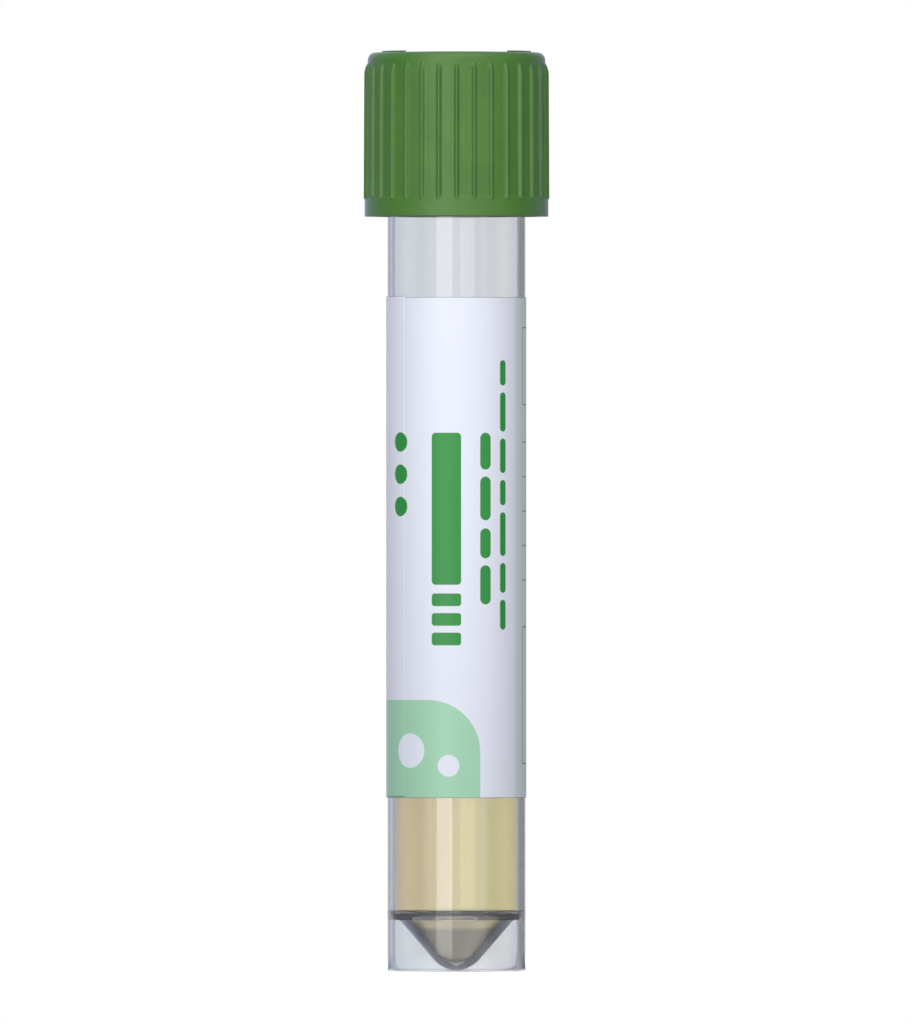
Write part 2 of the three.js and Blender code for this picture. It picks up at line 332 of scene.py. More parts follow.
# %% Material: clear plastic
FACE_ON = (0.89, 0.905, 0.925, 1)
EDGE_SHADE_PAINT = (0.06, 0.065, 0.07, 1)
WALL_TURNED = (0.63, 0.76)
WALL_FROM_RADIUS = 5.7
CONE_TURNED = (0.42, 0.62)
CONE_DARKENED = 0.8
CONE_TO_RADIUS = 5.2
CONE_TO_HEIGHT = 4.4
WEB_LEVELS = (4.45, 5.35)
WEB_TURNED = (0.55, 0.8)
WEB_MILKY = (0.09, 0.55)
MILK = (0.80, 0.79, 0.75, 1)
FOOT_EDGE = 0.12
FOOT_OPEN = 0.8
FOOT_OPEN_TO = 0.18
FOOT_CLEAR_TO = 0.3
SOFT_LIMIT = 0.1


def clear_plastic():
    """Clear moulded plastic, grey through, with painted shade darkening it where it turns from the
    eye.
    """
    material, tree, shader = new_material("clear moulded plastic")
    rough, normal = grained(tree, 0.03, 1.2, 40.0, 0.02, 0.05, 0.004)
    turned = place(tree, "ShaderNodeLayerWeight", {"Blend": 0.5}).outputs["Facing"]
    where, xyz = position(tree)
    flat = place(tree, "ShaderNodeVectorMath", {0: where, 1: (1, 1, 0)}, operation="MULTIPLY")
    across = place(tree, "ShaderNodeVectorMath", {0: flat.outputs[0]}, operation="LENGTH")
    radius = calc(tree, "DIVIDE", across.outputs["Value"], MM)
    height = calc(tree, "DIVIDE", xyz["Z"], MM)

    def from_level(value, level):
        return ramp(tree, value, level, level + SOFT_LIMIT)

    def up_to_level(value, level):
        return ramp(tree, value, level, level + SOFT_LIMIT, 1.0, 0.0)

    above_foot = ramp(tree, height, FOOT_EDGE, FOOT_CLEAR_TO)
    outer = product(tree, from_level(radius, WALL_FROM_RADIUS), above_foot)
    on_wall = product(tree, ramp(tree, turned, *WALL_TURNED), outer)
    on_cone = ramp(tree, turned, *CONE_TURNED, 0.0, CONE_DARKENED)
    on_cone = product(tree, on_cone, up_to_level(radius, CONE_TO_RADIUS))
    on_cone = product(tree, on_cone, up_to_level(height, CONE_TO_HEIGHT))
    # Painted shade: the base colour goes towards a near-black grey where the wall and the cone turn
    # from the eye.
    painted_edge_shade = calc(tree, "MAXIMUM", on_wall, on_cone)
    settle(tree, shader, {
        "Base Color": mix_colour(tree, painted_edge_shade, FACE_ON, EDGE_SHADE_PAINT),
        "Roughness": rough,
        "Normal": normal,
        "IOR": 1.5,
        "Transmission Weight": 0.985,
    })
    web_low, web_high = WEB_LEVELS
    at_web = product(tree, from_level(height, web_low), up_to_level(height, web_high - SOFT_LIMIT))
    milky = product(tree, ramp(tree, turned, *WEB_TURNED, *WEB_MILKY), at_web, outer)
    milk = place(tree, "ShaderNodeBsdfDiffuse", {"Color": MILK}).outputs[0]
    wall = mix_shader(tree, milky, shader.outputs[0], milk)
    at_foot = ramp(tree, height, FOOT_EDGE, FOOT_OPEN_TO, FOOT_OPEN, 0.0)
    let_light_in(tree, mix_shader(tree, at_foot, wall, opening(tree)))
    return material


CLEAR = clear_plastic()

# %% [markdown]
# ## The liquid
#
# Transport medium is a clear, pale amber, water-like liquid. Given water's index it would act
# as a strong lens and mirror the whole room, and a renderer follows that badly through two
# more walls. So the surface bends light hardly at all and only tints it, and a clear coat
# gives back the gloss. Its index stays a plain number on the shader's own socket, as do the
# coat's. The amber is painted a little warmer on the left and yellower on the right, as painted
# light for the different light on either side, and darker and greyer low in the cone, as painted
# shade. A small share of plain diffuse colour keeps the liquid readable when there is nothing
# bright behind it.

# %% Material: liquid medium
AMBER_LEFT_LIGHTING = (1.0, 0.80, 0.46, 1)
AMBER_RIGHT_LIGHTING = (1.0, 0.90, 0.45, 1)
AMBER_CONE_SHADE = (0.50, 0.42, 0.28, 1)
CONE_LEVELS = (3.8, 4.25)
SIDE_SPAN = (-3.0, 4.0)


def liquid_medium():
    """A clear amber liquid under a thin gloss."""
    material, tree, shader = new_material("amber transport medium")
    rough, normal = grained(tree, 0.06, 0.5, 8.0, 0.01, 0.05, 0.004)
    xyz = position(tree)[1]
    # Painted light and shade: the amber is warmer on the left, yellower on the right, and darker
    # low in the cone.
    low, high = (level * MM for level in CONE_LEVELS)
    above_cone = ramp(tree, xyz["Z"], low, high, smooth_step=True)
    left, right = (place_across * MM for place_across in SIDE_SPAN)
    side = ramp(tree, xyz["X"], left, right, smooth_step=True)
    body = mix_colour(tree, side, AMBER_LEFT_LIGHTING, AMBER_RIGHT_LIGHTING)
    settle(tree, shader, {
        "Base Color": mix_colour(tree, above_cone, AMBER_CONE_SHADE, body),
        "Roughness": rough,
        "Normal": normal,
        "IOR": 1.01,
        "Transmission Weight": 0.95,
        "Coat Weight": 1.0,
        "Coat Roughness": 0.03,
        "Coat IOR": 1.55,
    })
    return material


LIQUID = liquid_medium()

# %% [markdown]
# ## The cap's green plastic
#
# The cap is a satin green moulding. The colour sits in the plastic, so the base colour varies
# only a little, and the broad soft highlight comes from a middling roughness. The grain is
# finer and shorter than the tube's, like the spark-eroded texture of a cap mould. A weak
# sheen lightens and cools the rims, where the rough surface turns away from the eye.

# %% Material: green cap
CAP_GREENS = ((0.056, 0.170, 0.018, 1), (0.064, 0.187, 0.022, 1))
CLOUDS_PER_MM = 0.35
CLOUD_SPAN = (0.35, 0.65)


def green_cap():
    """Satin green plastic with a cool sheen at its rims."""
    material, tree, shader = new_material("green cap plastic")
    rough, normal = grained(tree, 0.42, 9.0, 1.0, 0.08, 0.12, 0.01)
    where = position(tree)[0]
    inputs = {"Vector": where, "Scale": CLOUDS_PER_MM / MM, "Detail": PATCH_DETAIL}
    cloud = place(tree, "ShaderNodeTexNoise", inputs).outputs["Fac"]
    settle(tree, shader, {
        "Base Color": mix_colour(tree, ramp(tree, cloud, *CLOUD_SPAN), *CAP_GREENS),
        "Roughness": rough,
        "Normal": normal,
        "IOR": 1.5,
        "Sheen Weight": 0.6,
        "Sheen Roughness": 0.35,
        "Sheen Tint": (0.42, 0.38, 0.82, 1),
    })
    return material


GREEN = green_cap()

# %% [markdown]
# ## The seal
#
# A soft, off-white washer closes the lip. It is only seen when the cap is off.

# %% Material: seal
OFF_WHITE = (0.78, 0.78, 0.74, 1)


def soft_seal():
    """A matt, off-white rubber."""
    material, tree, shader = new_material("soft off-white seal")
    rough, normal = grained(tree, 0.6, 6.0, 1.0, 0.1, 0.15, 0.01)
    settle(tree, shader, {"Base Color": OFF_WHITE, "Roughness": rough, "Normal": normal})
    return material


SEAL = soft_seal()
print("plain materials:", CLEAR.name, LIQUID.name, GREEN.name, SEAL.name, sep=" | ")

# %% [markdown]
# ## The label's print
#
# The label is white film with a plain green print: fields, bars and dots, with no words. The
# print follows the film, so it needs flat coordinates. The distance around the tube comes
# from the angle about the axis, measured from the front, and the height is the object's own
# Z, both in millimetres. One group draws a rounded mark at a given centre and size; bars,
# panels and dots are all that group with different values.

# %% Group: flat label coordinates
def label_map_group():
    """Millimetres around the tube from the front, and millimetres up."""
    group, given, out = new_group(
        "flat label coordinates", floats("Radius"), floats("Across", "Up"))
    xyz = position(group)[1]
    angle = calc(group, "ARCTAN2", xyz["X"], product(group, xyz["Y"], -1.0))
    group.links.new(product(group, angle, given["Radius"]), out["Across"])
    group.links.new(calc(group, "DIVIDE", xyz["Z"], MM), out["Up"])
    return group


# %% Group: one rounded printed mark
MARK_INPUTS = ("Across", "Up", "Centre Across", "Centre Up", "Half Width", "Half Height", "Corner")
INK_EDGE = 0.025


def mark_group():
    """1 inside a rounded rectangle, 0 outside, with an edge as soft as printed ink."""
    group, given, out = new_group("rounded printed mark", floats(*MARK_INPUTS), floats("Mask"))
    squares = []
    for axis, size in (("Across", "Half Width"), ("Up", "Half Height")):
        off = calc(group, "SUBTRACT", given[axis], given[f"Centre {axis}"])
        inner = calc(group, "SUBTRACT", given[size], given["Corner"])
        leg = calc(group, "SUBTRACT", calc(group, "ABSOLUTE", off), inner)
        leg = calc(group, "MAXIMUM", leg, 0.0)
        squares.append(product(group, leg, leg))
    distance = calc(group, "SQRT", calc(group, "ADD", *squares))
    outside = calc(group, "SUBTRACT", distance, given["Corner"])
    group.links.new(ramp(group, outside, -INK_EDGE, INK_EDGE, 1.0, 0.0), out["Mask"])
    return group


LABEL_MAP = label_map_group()
MARK = mark_group()
print("groups:", LABEL_MAP.name, "|", MARK.name)

# %% [markdown]
# ## Laying out the print
#
# Each list below is one ink. A mark is (centre across, centre up, half width, half height,
# corner), in millimetres, and `column` lays out marks of one width above one another. The
# dark ink carries a wide colour bar, a run of blocks and two
# rows of dashes along the axis. The pale ink is a broad foot band with a rounded shoulder.
# The writing panel on the right is a tinted field with open boxes and ruled lines.

# %% The marks of each ink
def column(across, half_width, corner, marks):
    """Marks of one width above one another, each given by its height and half height."""
    return [(across, height, half_width, half, corner) for height, half in marks]


def even(half, *heights):
    """Marks of one half height at several heights."""
    return [(height, half) for height in heights]


DASHES_NEAR = [(45.2, 1.6), (41.1, 1.9), (37.2, 1.3), (33.6, 1.7)]
DASHES_FAR = [(52.0, 1.1), (48.6, 1.7), (44.8, 1.5), (41.6, 1.1), (38.0, 1.9), (34.2, 1.3)]
DASHES_FAR += [(31.0, 1.3)]
BAR_ACROSS = -0.9
DARK_MARKS = column(BAR_ACROSS, 1.3, 0.35, [(40.2, 6.6)])
DARK_MARKS += column(BAR_ACROSS, 1.3, 0.25, even(0.55, 32.3, 30.6, 28.9))
DARK_MARKS += column(-5.6, 0.85, 0.85, even(0.85, 46.0, 43.2, 40.4))
DARK_MARKS += column(2.6, 0.5, 0.5, DASHES_NEAR)
DARK_MARKS += column(4.4, 0.32, 0.32, DASHES_FAR)
PALE_MARKS = [(-7.5, 16.2, 9.6, 7.4, 4.6)]
PALE_HOLES = [(-4.4, 19.2, 1.5, 1.5, 1.5), (-0.7, 17.9, 0.95, 0.95, 0.95)]
PANEL = (12.0, 36.8, 5.96, 30.0, 0.0)
BOXES = column(12.0, 4.6, 0.3, [(52.6, 3.4), (24.0, 6.0)])
BOX_LINE = 0.09
RULED_LINES = column(12.0, 4.6, 0.0, even(0.06, 46.0, 43.0, 40.0, 37.0, 34.0))
print("marks:", len(DARK_MARKS) + len(PALE_MARKS) + len(PALE_HOLES) + len(BOXES) + len(RULED_LINES))

# %% [markdown]
# ## The label material
#
# The inks are laid over the white film one after another. The print is a little glossier
# than the bare film, as a varnished ink is. A narrow band along each long edge is painted
# grey, as painted shade at the film's edges. The mesh marks it with its `cut_edge` value. The film
# is thin enough to let some light through to its inner side, which one sees through the clear wall.

# %% Material: printed label
FILM = (0.79, 0.81, 0.895, 1)
PANEL_TINT = (0.54, 0.655, 0.625, 1)
PALE_INK = (0.37, 0.66, 0.46, 1)
DARK_INK = (0.022, 0.28, 0.045, 1)
LINE_INK = (0.10, 0.13, 0.12, 1)
EDGE_SHADE_GREY = (0.16, 0.17, 0.18, 1)
CUT_SPAN = (0.3, 0.8)
CUT_SHARE = 0.9
VARNISH = -0.08
FILM_LETS_IN = (0.30, 0.31, 0.33, 1)


def printed_label():
    """White film with three inks, a tinted panel and cut edges greyed with painted shade."""
    material, tree, shader = new_material("printed label film")
    flat = place(tree, "ShaderNodeGroup", {"Radius": LABEL_RADIUS}, node_tree=LABEL_MAP).outputs

    def mark(values):
        inputs = dict(zip(MARK_INPUTS, (flat["Across"], flat["Up"], *values)))
        return place(tree, "ShaderNodeGroup", inputs, node_tree=MARK).outputs["Mask"]

    def ink(marks):
        mask = mark(marks[0])
        for values in marks[1:]:
            mask = calc(tree, "MAXIMUM", mask, mark(values))
        return mask

    def outline(values):
        inside = (*values[:2], *(size - BOX_LINE for size in values[2:]))
        return calc(tree, "SUBTRACT", mark(values), mark(inside))

    dark = ink(DARK_MARKS)
    pale = calc(tree, "SUBTRACT", ink(PALE_MARKS), ink(PALE_HOLES))
    lines = calc(tree, "MAXIMUM", outline(BOXES[0]), outline(BOXES[1]))
    lines = calc(tree, "MAXIMUM", lines, ink(RULED_LINES))
    # Painted shade: a grey band along the film's long edges, where the mesh's cut_edge value is
    # high.
    edge = place(tree, "ShaderNodeAttribute", attribute_name="cut_edge").outputs["Fac"]
    cut = ramp(tree, edge, *CUT_SPAN, 0.0, CUT_SHARE)
    colour = mix_colour(tree, mark(PANEL), FILM, PANEL_TINT)
    for mask, tint in ((pale, PALE_INK), (dark, DARK_INK), (lines, LINE_INK), (cut, EDGE_SHADE_GREY)):
        colour = mix_colour(tree, mask, colour, tint)
    rough, normal = grained(tree, 0.42, 5.0, 1.0, 0.06, 0.10, 0.008)
    varnish = product(tree, calc(tree, "MAXIMUM", dark, pale), VARNISH)
    settle(tree, shader, {
        "Base Color": colour,
        "Roughness": calc(tree, "ADD", rough, varnish),
        "Normal": normal,
        "IOR": 1.45,
    })
    let_light_in(tree, shader.outputs[0], FILM_LETS_IN)
    return material


LABEL = printed_label()
print("material:", LABEL.name, "with", len(LABEL.node_tree.nodes), "nodes")

# %% [markdown]
# ## A rule for screw threads
#
# A thread is a ridge that follows a rule: its height above the wall depends only on how far a
# point is from the nearest turn of a helix. So the thread is made by Geometry Nodes that push
# a finely divided wall outwards, and not by a swept bar that would have to be cut into the
# clear wall. The mesh carries a `thread_side` value that is 1 on a neck's outer wall, -1 on a
# bore and 0 elsewhere, so one tree serves both halves of the thread.

# %% Thread sizes
THREAD_STARTS = 2
THREAD_LEAD = 5.0
THREAD_DEPTH = 0.6
THREAD_BASE = 0.9
THREAD_CREST = 0.4
THREAD_RUN_OUT = 0.12
NECK_THREAD_START = LIP - 8.9
NECK_THREAD_TURNS = 1.125
CAP_THREAD_DROP = 0.675
CAP_THREAD_TURNS = 0.875


# %% Geometry Nodes: thread relief
def node_tree_with(name, inputs):
    """A Geometry Nodes tree with a mesh in and out and its named inputs."""
    tree = bpy.data.node_groups.new(name, "GeometryNodeTree")
    tree.interface.new_socket("Geometry", in_out="INPUT", socket_type="NodeSocketGeometry")
    for label, kind, value in inputs:
        socket = tree.interface.new_socket(label, in_out="INPUT", socket_type=kind)
        if value is not None:
            socket.default_value = value
    tree.interface.new_socket("Geometry", in_out="OUTPUT", socket_type="NodeSocketGeometry")
    return tree, tree.nodes.new("NodeGroupInput").outputs


def finish_tree(tree, geometry, material):
    """Every tree ends in Realize Instances and Set Material."""
    real = place(tree, "GeometryNodeRealizeInstances", {"Geometry": geometry}).outputs[0]
    inputs = {"Geometry": real, "Material": material}
    done = place(tree, "GeometryNodeSetMaterial", inputs)
    out = tree.nodes.new("NodeGroupOutput")
    tree.links.new(done.outputs[0], out.inputs[0])


def push_radially(tree, geometry, lift, xyz, radius):
    """Moves every point away from the axis by a distance."""
    parts = {axis: product(tree, calc(tree, "DIVIDE", xyz[axis], radius), lift) for axis in "XY"}
    offset = place(tree, "ShaderNodeCombineXYZ", parts).outputs["Vector"]
    inputs = {"Geometry": geometry, "Offset": offset}
    return place(tree, "GeometryNodeSetPosition", inputs).outputs[0]


def polar(tree):
    """The split position, its distance from the axis and its angle in turns."""
    where = place(tree, "GeometryNodeInputPosition").outputs[0]
    xyz = place(tree, "ShaderNodeSeparateXYZ", {0: where}).outputs
    x, y = xyz["X"], xyz["Y"]
    squares = calc(tree, "ADD", product(tree, x, x), product(tree, y, y))
    radius = calc(tree, "MAXIMUM", calc(tree, "SQRT", squares), ON_AXIS)
    turn = calc(tree, "DIVIDE", calc(tree, "ARCTAN2", y, x), 2 * math.pi)
    return xyz, radius, turn


def halves(tree, given):
    """Half the crest's width and half the base's width of a ridge."""
    return [calc(tree, "DIVIDE", given[name], 2.0) for name in ("Crest Width", "Base Width")]


def attribute(tree, name):
    """A number that the mesh carries on its points."""
    node = place(tree, "GeometryNodeInputNamedAttribute", {"Name": name}, data_type="FLOAT")
    return node.outputs["Attribute"]


def thread_tree():
    """Pushes a wall out along a helix, in as many starts as the thread has."""
    tree, given = node_tree_with("screw thread relief", [
        ("Start Height", "NodeSocketFloat", 0.0),
        ("Turns", "NodeSocketFloat", 1.0),
        ("Lead", "NodeSocketFloat", THREAD_LEAD * MM),
        ("Starts", "NodeSocketFloat", float(THREAD_STARTS)),
        ("Depth", "NodeSocketFloat", THREAD_DEPTH * MM),
        ("Base Width", "NodeSocketFloat", THREAD_BASE * MM),
        ("Crest Width", "NodeSocketFloat", THREAD_CREST * MM),
        ("Run-out", "NodeSocketFloat", THREAD_RUN_OUT),
        ("Material", "NodeSocketMaterial", None),
    ])
    xyz, radius, turn = polar(tree)
    above = calc(tree, "SUBTRACT", xyz["Z"], given["Start Height"])
    risen = calc(tree, "DIVIDE", above, given["Lead"])
    ahead = calc(tree, "SUBTRACT", risen, turn)
    ridge = calc(tree, "ROUND", product(tree, ahead, given["Starts"]))
    along = calc(tree, "ADD", turn, calc(tree, "DIVIDE", ridge, given["Starts"]))
    off_line = calc(tree, "ABSOLUTE", calc(tree, "SUBTRACT", risen, along))
    distance = product(tree, off_line, given["Lead"])
    section = ramp(tree, distance, *halves(tree, given), 1.0, 0.0, smooth_step=True)
    left = calc(tree, "SUBTRACT", given["Turns"], along)
    to_end = calc(tree, "MINIMUM", along, left)
    fade = ramp(tree, to_end, 0.0, given["Run-out"], smooth_step=True)
    lift = product(tree, section, fade, given["Depth"], attribute(tree, "thread_side"))
    pushed = push_radially(tree, given["Geometry"], lift, xyz, radius)
    finish_tree(tree, pushed, given["Material"])
    return tree


THREAD_TREE = thread_tree()
print("tree:", THREAD_TREE.name, "with", len(THREAD_TREE.nodes), "nodes")


# %% Run a tree on a mesh and keep the result
def apply_trees(mesh, *steps):
    """Runs Geometry Nodes trees on a mesh and gives back one plain mesh."""
    worker = bpy.data.objects.new("worker", mesh)
    bpy.context.scene.collection.objects.link(worker)
    for tree, values in steps:
        modifier = worker.modifiers.new(tree.name, "NODES")
        modifier.node_group = tree
        for item in tree.interface.items_tree:
            if item.in_out == "INPUT" and item.name in values:
                modifier[item.identifier] = values[item.name]
    evaluated = worker.evaluated_get(bpy.context.evaluated_depsgraph_get())
    result = bpy.data.meshes.new_from_object(evaluated)
    result.name = mesh.name
    bpy.data.objects.remove(worker)
    bpy.data.meshes.remove(mesh)
    return result


def carry(mesh, name, value_at):
    """Stores a number on every point of a mesh, worked out from its radius and height in mm."""
    values = [value_at(math.hypot(v.co.x, v.co.y) / MM, v.co.z / MM) for v in mesh.vertices]
    mesh.attributes.new(name, "FLOAT", "POINT").data.foreach_set("value", values)


# %% [markdown]
# ## The tube
#
# One clear moulding: a plain barrel, an open skirt that it stands on, a conical floor hung
# from a flat web, and a threaded neck. The floor's two faces are cones with round tips about
# one centre. The inner one is a little steeper and opens into the bore with a rounded mouth.
# The wall has to be a true closed shell, because every look of clear plastic comes from light
# crossing both of its faces.
#
# Smooth shading averages the directions of the faces that meet at a ring. Beside a rounded
# edge that would tilt the shading of the long wall next to it, and clear plastic shows any
# tilt at once. A holding ring, `HOLD` away from each rounded edge, keeps the wall true.

# %% Tube sizes
TUBE_RADIUS = 6.0
TUBE_WALL = 0.6
BORE_RADIUS = TUBE_RADIUS - TUBE_WALL
NECK_RADIUS = 5.9
SHOULDER = LIP - 11.1
EDGE_ROUND = 0.12
HOLD = 0.06
WEB_UNDERSIDE = 4.48
WEB_TOP = WEB_UNDERSIDE + 0.83
CONE_CENTRE = 2.7
CONE_TIP_OUTSIDE = 2.6
CONE_TIP_INSIDE = 2.0
CONE_ANGLE_OUTSIDE = 41.0
CONE_ANGLE_INSIDE = 38.0
CONE_MOUTH_ROUND = 1.5
THREAD_MARGIN = 0.6
NECK_THREAD_SPAN = 6.3
NECK_THREAD_ROWS = 86
ON_WALL = 0.01
AROUND = 192


# %% Build the tube
def cone_radius(tip, half_angle, height):
    """The radius of a cone that touches a round tip, at a height."""
    slope = math.radians(half_angle)
    return (tip + (height - CONE_CENTRE) * math.sin(slope)) / math.cos(slope)


def cone_tip(tip, half_angle):
    """The round tip of a cone, from the axis to where the straight side starts."""
    outline = arc(0, CONE_CENTRE, tip, -90, -half_angle, 12)
    return [(0, outline[0][1])] + outline[1:]


def cone_outside():
    """The cone's underside, from its tip up to the web."""
    edge = cone_radius(CONE_TIP_OUTSIDE, CONE_ANGLE_OUTSIDE, WEB_UNDERSIDE)
    return cone_tip(CONE_TIP_OUTSIDE, CONE_ANGLE_OUTSIDE) + [(edge, WEB_UNDERSIDE)]


def cone_inside(gap=0.0):
    """The cone's inner face up to its rounded mouth, or the same with a gap left to it."""
    tip, size = CONE_TIP_INSIDE - gap, CONE_MOUTH_ROUND + gap
    slope = math.radians(CONE_ANGLE_INSIDE)
    start = WEB_TOP + gap - size * (1 - math.sin(slope))
    centre = cone_radius(tip, CONE_ANGLE_INSIDE, start) + size * math.cos(slope)
    mouth = arc(centre, WEB_TOP + gap - size, size, 180 - CONE_ANGLE_INSIDE, 90, 16)
    return cone_tip(tip, CONE_ANGLE_INSIDE) + mouth


def tube_outline():
    """Up the outside from the foot to the lip, down the bore and the cone, and out."""
    thread_low = NECK_THREAD_START - THREAD_MARGIN
    thread_high = NECK_THREAD_START + NECK_THREAD_SPAN
    outline = arc(TUBE_RADIUS - EDGE_ROUND, EDGE_ROUND, EDGE_ROUND, -90, 0, 4)
    outline += rows(TUBE_RADIUS, EDGE_ROUND + HOLD, TUBE_RADIUS, SHOULDER, 2)
    outline += [(TUBE_RADIUS, SHOULDER), (NECK_RADIUS, SHOULDER + 0.1)]
    outline += rows(NECK_RADIUS, thread_low, NECK_RADIUS, thread_high, NECK_THREAD_ROWS)
    outline += [(NECK_RADIUS, thread_high)]
    outline += arc(NECK_RADIUS - EDGE_ROUND, LIP - EDGE_ROUND, EDGE_ROUND, 0, 90, 4)
    outline += arc(BORE_RADIUS + EDGE_ROUND, LIP - EDGE_ROUND, EDGE_ROUND, 90, 180, 4)
    outline += [(BORE_RADIUS, LIP - EDGE_ROUND - HOLD), (BORE_RADIUS, WEB_TOP)]
    outline += cone_inside()[::-1] + cone_outside()
    outline += [(BORE_RADIUS, WEB_UNDERSIDE), (BORE_RADIUS, EDGE_ROUND + HOLD)]
    outline += arc(BORE_RADIUS + EDGE_ROUND, EDGE_ROUND, EDGE_ROUND, 180, 270, 4)
    return outline


def neck_side(radius, height):
    """1 on the neck's outer wall, 0 elsewhere."""
    return float(height > SHOULDER + 1 and abs(radius - NECK_RADIUS) < ON_WALL)


tube_mesh = turned_mesh("clear tube", tube_outline(), even_angles(AROUND))
carry(tube_mesh, "thread_side", neck_side)
tube_mesh = apply_trees(tube_mesh, (THREAD_TREE, {
    "Start Height": NECK_THREAD_START * MM,
    "Turns": NECK_THREAD_TURNS,
    "Material": CLEAR,
}))
smooth(tube_mesh)
add_piece("clear_tube", tube_mesh, CLEAR, "tube", "clear_tube", "tube")

# %% [markdown]
# ## The liquid
#
# The liquid fills the floor of the tube and climbs a little at the wall. It is a separate
# closed solid, a hair smaller than the bore, so that a thin film of air stays between the
# two. Without that gap the renderer would have two surfaces in one place, and the tube's
# sides would lose the strips where light is turned back inside the wall.

# %% Build the liquid
MENISCUS_RISE = 0.5
MENISCUS_REACH = 1.6
MENISCUS_STEPS = 10
LIQUID_GAP = 0.02
LIQUID_SIDE = BORE_RADIUS - LIQUID_GAP


def liquid_outline():
    """Up the cone and the bore, then inwards along the dished surface."""
    surface = LIQUID_EDGE - MENISCUS_RISE
    outline = cone_inside(LIQUID_GAP) + [(LIQUID_SIDE, WEB_TOP + LIQUID_GAP)]
    for step in range(MENISCUS_STEPS + 1):
        inward = step / MENISCUS_STEPS
        height = surface + MENISCUS_RISE * (1 - inward) ** 2
        outline.append((LIQUID_SIDE - inward * MENISCUS_REACH, height))
    return outline + [(0, surface)]


liquid_mesh = turned_mesh("transport medium", liquid_outline(), even_angles(AROUND))
smooth(liquid_mesh)
add_piece("amber_medium", liquid_mesh, LIQUID, "tube", "liquid_medium", "transport_medium")

# %% [markdown]
# ## The label
#
# A label is one strip wound round the tube, and its free end lies over its start. So the mesh
# is a strip too: it follows the angle for a full turn and a bit more, and eases out by one
# thickness where it crosses its own start. The strip is wound very slightly out of true, so
# the free end sits a tenth of a millimetre higher, as hand-fed labels do, and its last edge
# is pressed down. Each section has six points, so that a narrow band along the two long
# edges can carry `cut_edge`, which greys it.

# %% Build the label
LABEL_FILM = 0.02
LABEL_THICKNESS = 0.05
CUT_EDGE = 0.09
LAP_FREE_END = -137.0
LAP_ANGLE = 45.0
LAP_SKEW = 0.12
SKEW_FROM = 0.6
EASE_ANGLE = 8.0
LAID_THICKNESS = 0.98
PRESSED_THICKNESS = 0.3
LABEL_STEPS = 405
SECTION_POINTS = 6
OUTER_EDGES = (1, 4)


def smooth_share(value, start, length):
    """How far a value has gone through a span, eased at both ends."""
    share = min(1.0, max(0.0, (value - start) / length))
    return share * share * (3 - 2 * share)


def label_section(step):
    """The six points of the strip's section at one step of its winding."""
    share = step / LABEL_STEPS
    wound = (360 + LAP_ANGLE) * share
    angle = math.radians(LAP_FREE_END - 360 - LAP_ANGLE + wound)
    ease = smooth_share(wound, 360 - EASE_ANGLE, EASE_ANGLE)
    inner = TUBE_RADIUS + LABEL_FILM + ease * LABEL_THICKNESS
    last = step == LABEL_STEPS
    outer = inner + LABEL_THICKNESS * (PRESSED_THICKNESS if last else LAID_THICKNESS)
    late = max(0.0, (share - SKEW_FROM) / (1 - SKEW_FROM))
    low = LABEL_BOTTOM + LAP_SKEW * late * late
    high = low + LABEL_TOP - LAP_SKEW - LABEL_BOTTOM
    corners = [(inner, low), (outer, low), (outer, low + CUT_EDGE)]
    corners += [(outer, high - CUT_EDGE), (outer, high), (inner, high)]
    return [Vector((r * math.cos(angle), r * math.sin(angle), z)) * MM for r, z in corners]


def wound_strip():
    """The label as one closed strip that laps over its own start."""
    work = bmesh.new()
    steps = range(LABEL_STEPS + 1)
    sections = [[work.verts.new(point) for point in label_section(step)] for step in steps]
    for before, after in zip(sections, sections[1:]):
        for i in range(SECTION_POINTS):
            j = (i + 1) % SECTION_POINTS
            work.faces.new((before[i], after[i], after[j], before[j]))
    work.faces.new(sections[0])
    work.faces.new(sections[-1][::-1])
    bmesh.ops.recalc_face_normals(work, faces=work.faces)
    mesh = finished_mesh("wound label", work)
    # cut_edge marks the narrow bands along the long edges that the label material greys as painted
    # shade.
    on_edge = [float(i % SECTION_POINTS in OUTER_EDGES) for i in range(len(mesh.vertices))]
    mesh.attributes.new("cut_edge", "FLOAT", "POINT").data.foreach_set("value", on_edge)
    return mesh


label_mesh = wound_strip()
smooth(label_mesh)
add_piece("wrap_label", label_mesh, LABEL, "tube", "printed_label", "label")

# %% [markdown]
# ## The seal
#
# A plain washer with rounded edges, held under the cap's top.

# %% Build the seal
SEAL_INNER = 5.45
SEAL_EDGE = 0.1


def seal_outline():
    """Four rounded corners, from the lower outer one round to the lower inner one."""
    outer, inner = SEAL_RADIUS - SEAL_EDGE, SEAL_INNER + SEAL_EDGE
    low, high = SEAL_BOTTOM + SEAL_EDGE, SEAL_TOP - SEAL_EDGE
    outline = []
    for quarter, corner in enumerate(((outer, low), (outer, high), (inner, high), (inner, low))):
        start = 90 * quarter - 90
        outline += arc(*corner, SEAL_EDGE, start, start + 90, 4)
    return outline


seal_mesh = turned_mesh("seal washer", seal_outline(), even_angles(AROUND))
smooth(seal_mesh)
add_piece("seal_washer", seal_mesh, SEAL, "seal", "seal_washer", "lip_seal")

# %% [markdown]
# ## A rule for the grip ribs
#
# The cap has thirty-two ribs, all alike. They could be thirty-two copies of one bar, but a
# moulded rib melts into the wall: it fades where the body flares out to the bottom band and
# where its crest rounds over at the top. That is a rule again. Each point of the wall knows
# how far the rib's crest stands above it at its height, in `rib_room`. Away from the rib's
# centre line the crest falls off down its flank, and the wall is pushed out by what is left.

# %% Geometry Nodes: grip rib relief
RIB_COUNT = 32
RIB_HEIGHT = 0.267
RIB_BASE = 0.54
RIB_CREST = 0.2
RIB_BLEND = 0.03
FLAT_OF_CREST = 0.3


